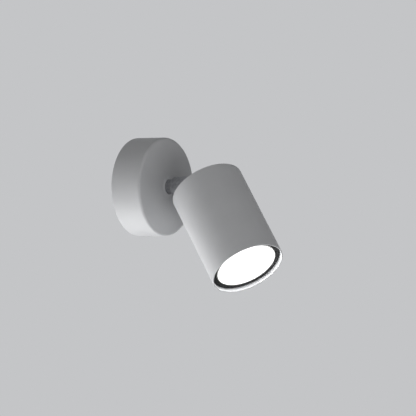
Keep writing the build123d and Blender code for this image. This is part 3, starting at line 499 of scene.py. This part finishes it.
# %% [markdown]
# ## Cast arm and knuckle
# The arm and the head's knuckle are small castings that interlock on a pin. Tumbling after casting takes the
# sharpness off every edge. Bevelling each edge of such a shape by hand is slow, and a bevel modifier trips
# where three curved faces meet. Here a copy is merged, rebuilt from cubes of 0.25 mm and smoothed, which
# rounds all edges alike, as tumbling does, and leaves flat and round faces where they are.

# %% Cast arm and knuckle
cube_mm = 0.25
smooth_passes = 4


def tumble(node, name, body):
    """Stand a copy with softened edges in for a cast CAD node."""
    piece = frame["nodes"][node].copy()
    piece.data = piece.data.copy()
    piece.parent = None
    piece.matrix_world = Matrix.Identity(4)
    bpy.context.scene.collection.objects.link(piece)
    bpy.context.view_layer.objects.active = piece
    piece.select_set(True)
    bpy.ops.object.mode_set(mode="EDIT")
    bpy.ops.mesh.select_all(action="SELECT")
    bpy.ops.mesh.remove_doubles(threshold=merge_distance)
    bpy.ops.object.mode_set(mode="OBJECT")
    cubes = piece.modifiers.new("cubes", "REMESH")
    cubes.mode = "VOXEL"
    cubes.voxel_size = cube_mm * mm
    bpy.ops.object.modifier_apply(modifier=cubes.name)
    soft = piece.modifiers.new("soft", "SMOOTH")
    soft.factor = 0.5
    soft.iterations = smooth_passes
    bpy.ops.object.modifier_apply(modifier=soft.name)
    settle(name, Matrix.Identity(4), body, node, cast_zinc, smooth_angle=60)


tumble("arm_barrel", "arm_casting", "arm")
tumble("head_knuckle", "knuckle_casting", "head")

# %% [markdown]
# ## Cable bush
# A rubber bush in the mounting plate keeps the supply cable off the sheet's edge. It is moulded EPDM rubber,
# matt and nearly black, with a flange inside the rose and full round lips. Its section is drawn once, its
# corners rounded, and the section spun. Here the same fault is worse, because the bevel also takes the point
# halfway up the bore, where an inner edge ends: many small walls are left inside the bush, and the middle of
# its bore faces into the rubber.

# %% Cable bush
rubber, tree, shader, place = start_finish("moulded_epdm_rubber_black", roughness=0.72)
bloom = add_node(tree, "ShaderNodeTexNoise", {"Scale": per_metre(3), "Detail": 4.0}, {"Vector": place})
shade = add_node(tree, "ShaderNodeMix", {"A": linear("#1D1D1D"), "B": linear("#2A2A29")},
                 {"Factor": bloom.outputs["Fac"]}, data_type="RGBA")
tree.links.new(shade.outputs["Result"], shader.inputs["Base Color"])

bush_bore, bush_outer, bush_flange = 5.0, 7.95, 10.0
plate_front, bush_front = 1.5, 3.1
bush_height = 18.0
bush_lip = 0.6
add_section((bush_bore, bush_outer), (0.0, plate_front))
pick("edges", lambda middle, normal: middle.z > plate_front - reach)
bpy.ops.mesh.extrude_region_move(TRANSFORM_OT_translate={"value": (0, 0, (bush_front - plate_front) * mm)})
pick("edges", lambda middle, normal: middle.x > bush_outer - reach and middle.z > plate_front + reach)
bpy.ops.mesh.extrude_region_move(TRANSFORM_OT_translate={"value": ((bush_flange - bush_outer) * mm, 0, 0)})
pick("verts", lambda middle, normal: middle.x > bush_flange - reach or middle.x < bush_bore + reach)
bpy.ops.mesh.bevel(offset=bush_lip * mm, segments=5, affect="VERTICES")
spin_section()
bush_place = wall_place @ Matrix.Translation((0, bush_height * mm, 0))
settle("rounded_bush", bush_place, "rose", "cable_bush", rubber)

# %% [markdown]
# ## Backdrop and floor
# The light is seen against a plain pale backdrop. What the camera sees directly is drawn at the backdrop's
# own colour, and mirrors and gloss see the same, so metal has something pale to reflect. For all other rays
# the backdrop is a dim, even light that keeps the shadows open and leaves the modelling to the lamps.
# The floor is a wide disc far below the light. Where the camera looks it mostly glows in the backdrop's
# colour, so that no horizon shows, and for the rest it takes light and shadow as paint does.

# %% Backdrop and floor
scene = bpy.context.scene
scene.view_settings.view_transform = "Standard"
backdrop_colour = linear("#C4C5C7")
fill_strength = 0.07
floor_height = -1.2
floor_glow_share = 0.8
floor_glow_strength = 1.2
world = bpy.data.worlds.new("studio")
scene.world = world
world.use_nodes = True
tree = world.node_tree
tree.nodes.clear()
rays = add_node(tree, "ShaderNodeLightPath")
seen = add_node(tree, "ShaderNodeMath",
                links={0: rays.outputs["Is Camera Ray"], 1: rays.outputs["Is Glossy Ray"]}, operation="MAXIMUM")
seen = add_node(tree, "ShaderNodeMath",
                links={0: seen.outputs["Value"], 1: rays.outputs["Is Transmission Ray"]},
                operation="MAXIMUM")
dim = add_node(tree, "ShaderNodeBackground", {"Color": linear("#FFFFFF"), "Strength": fill_strength})
pale = add_node(tree, "ShaderNodeBackground", {"Color": backdrop_colour, "Strength": 1.0})
both = add_node(tree, "ShaderNodeMixShader",
                links={0: seen.outputs["Value"], 1: dim.outputs["Background"], 2: pale.outputs["Background"]})
add_node(tree, "ShaderNodeOutputWorld", links={"Surface": both.outputs["Shader"]})

bpy.ops.mesh.primitive_circle_add(vertices=96, radius=6, fill_type="NGON", location=(0, 0, floor_height))
floor = bpy.context.object
floor.name = "floor"
floor_paint, tree, shader, place = start_finish("pale_floor", roughness=0.9)
shader.inputs["Base Color"].default_value = backdrop_colour
rays = add_node(tree, "ShaderNodeLightPath")
share = add_node(tree, "ShaderNodeMath", {1: floor_glow_share},
                 {0: rays.outputs["Is Camera Ray"]}, operation="MULTIPLY")
glow = add_node(tree, "ShaderNodeEmission", {"Color": backdrop_colour, "Strength": floor_glow_strength})
mixed = add_node(tree, "ShaderNodeMixShader",
                 links={0: share.outputs["Value"], 1: shader.outputs["BSDF"], 2: glow.outputs["Emission"]})
tree.links.new(mixed.outputs["Shader"], tree.nodes["Material Output"].inputs["Surface"])
floor.data.materials.append(floor_paint)
bpy.ops.object.select_all(action="DESELECT")

# %% [markdown]
# ## Studio light
# In the photograph the bright sides of the rose and the tube face left, down and back, so most of the light
# comes from low behind the rose, and soft light from the other sides keeps the shadows open. Round soft
# boxes stand at one distance round the light, each with a height, a bearing, a width and a power. Their powers
# were first fitted to the tones of the photograph and then raised, by about 1.4 times, so that white
# paint looks white against a pale backdrop. The two nearly level ones behind the mounting plate are twice as
# wide, because the zinc mirrors them, and a small bright box would bleach it. A bearing of 0 is straight in
# front and 90 is to the right.

# %% Studio light
soft_box_distance = 1.2
soft_boxes = {
    "low_back_left": (-50, 225, 0.9, 6.6),
    "low_back": (-50, 180, 0.9, 6.0),
    "level_back": (-20, 180, 1.8, 4.6),
    "high_back": (10, 180, 1.8, 3.2),
    "right": (-20, 90, 0.9, 2.4),
    "left": (-20, 270, 0.9, 0.5),
    "front_left": (-20, 315, 0.9, 3.5),
    "front": (-20, 0, 0.9, 1.8),
    "high_left": (40, 300, 0.9, 1.6),
}
middle = (cad_size[0] + cad_size[1]) / 2


def soft_lamp(name, place, aim, width, power):
    """A round area lamp that shines from its place towards its aim and doesn't show itself."""
    data = bpy.data.lights.new(name, "AREA")
    data.shape = "DISK"
    data.size = width
    data.energy = power
    lamp = bpy.data.objects.new(name, data)
    lamp.location = place
    lamp.rotation_euler = (aim - place).to_track_quat("-Z", "Y").to_euler()
    lamp.visible_camera = False
    scene.collection.objects.link(lamp)
    return lamp


for name, (height, bearing, width, power) in soft_boxes.items():
    rise, turn = math.radians(height), math.radians(bearing)
    towards = Vector((math.cos(rise) * math.sin(turn), -math.cos(rise) * math.cos(turn), math.sin(rise)))
    soft_lamp(name, middle + soft_box_distance * towards, middle, width, power)
print(f"{len(soft_boxes)} soft boxes, {sum(box[-1] for box in soft_boxes.values()):.1f} W")

# %% [markdown]
# ## The lamp's own light
# The lamp is on, and its light is what makes the inside of the tube's mouth nearly white. The glowing face
# alone is too weak for that without blurring its own edge, so a round lamp of the face's size shines from
# just in front of it. It rides on the lamp's body and turns with it.

# %% The lamp's own light
beam_gap = 0.1
beam_power = 0.035
beam_start = head_place @ Vector((0, 0, (face_front + beam_gap) * mm))
beam = soft_lamp("lamp_beam", beam_start, beam_start + beam_axis, 2 * face_radius * mm, beam_power)
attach(beam, "lamp")
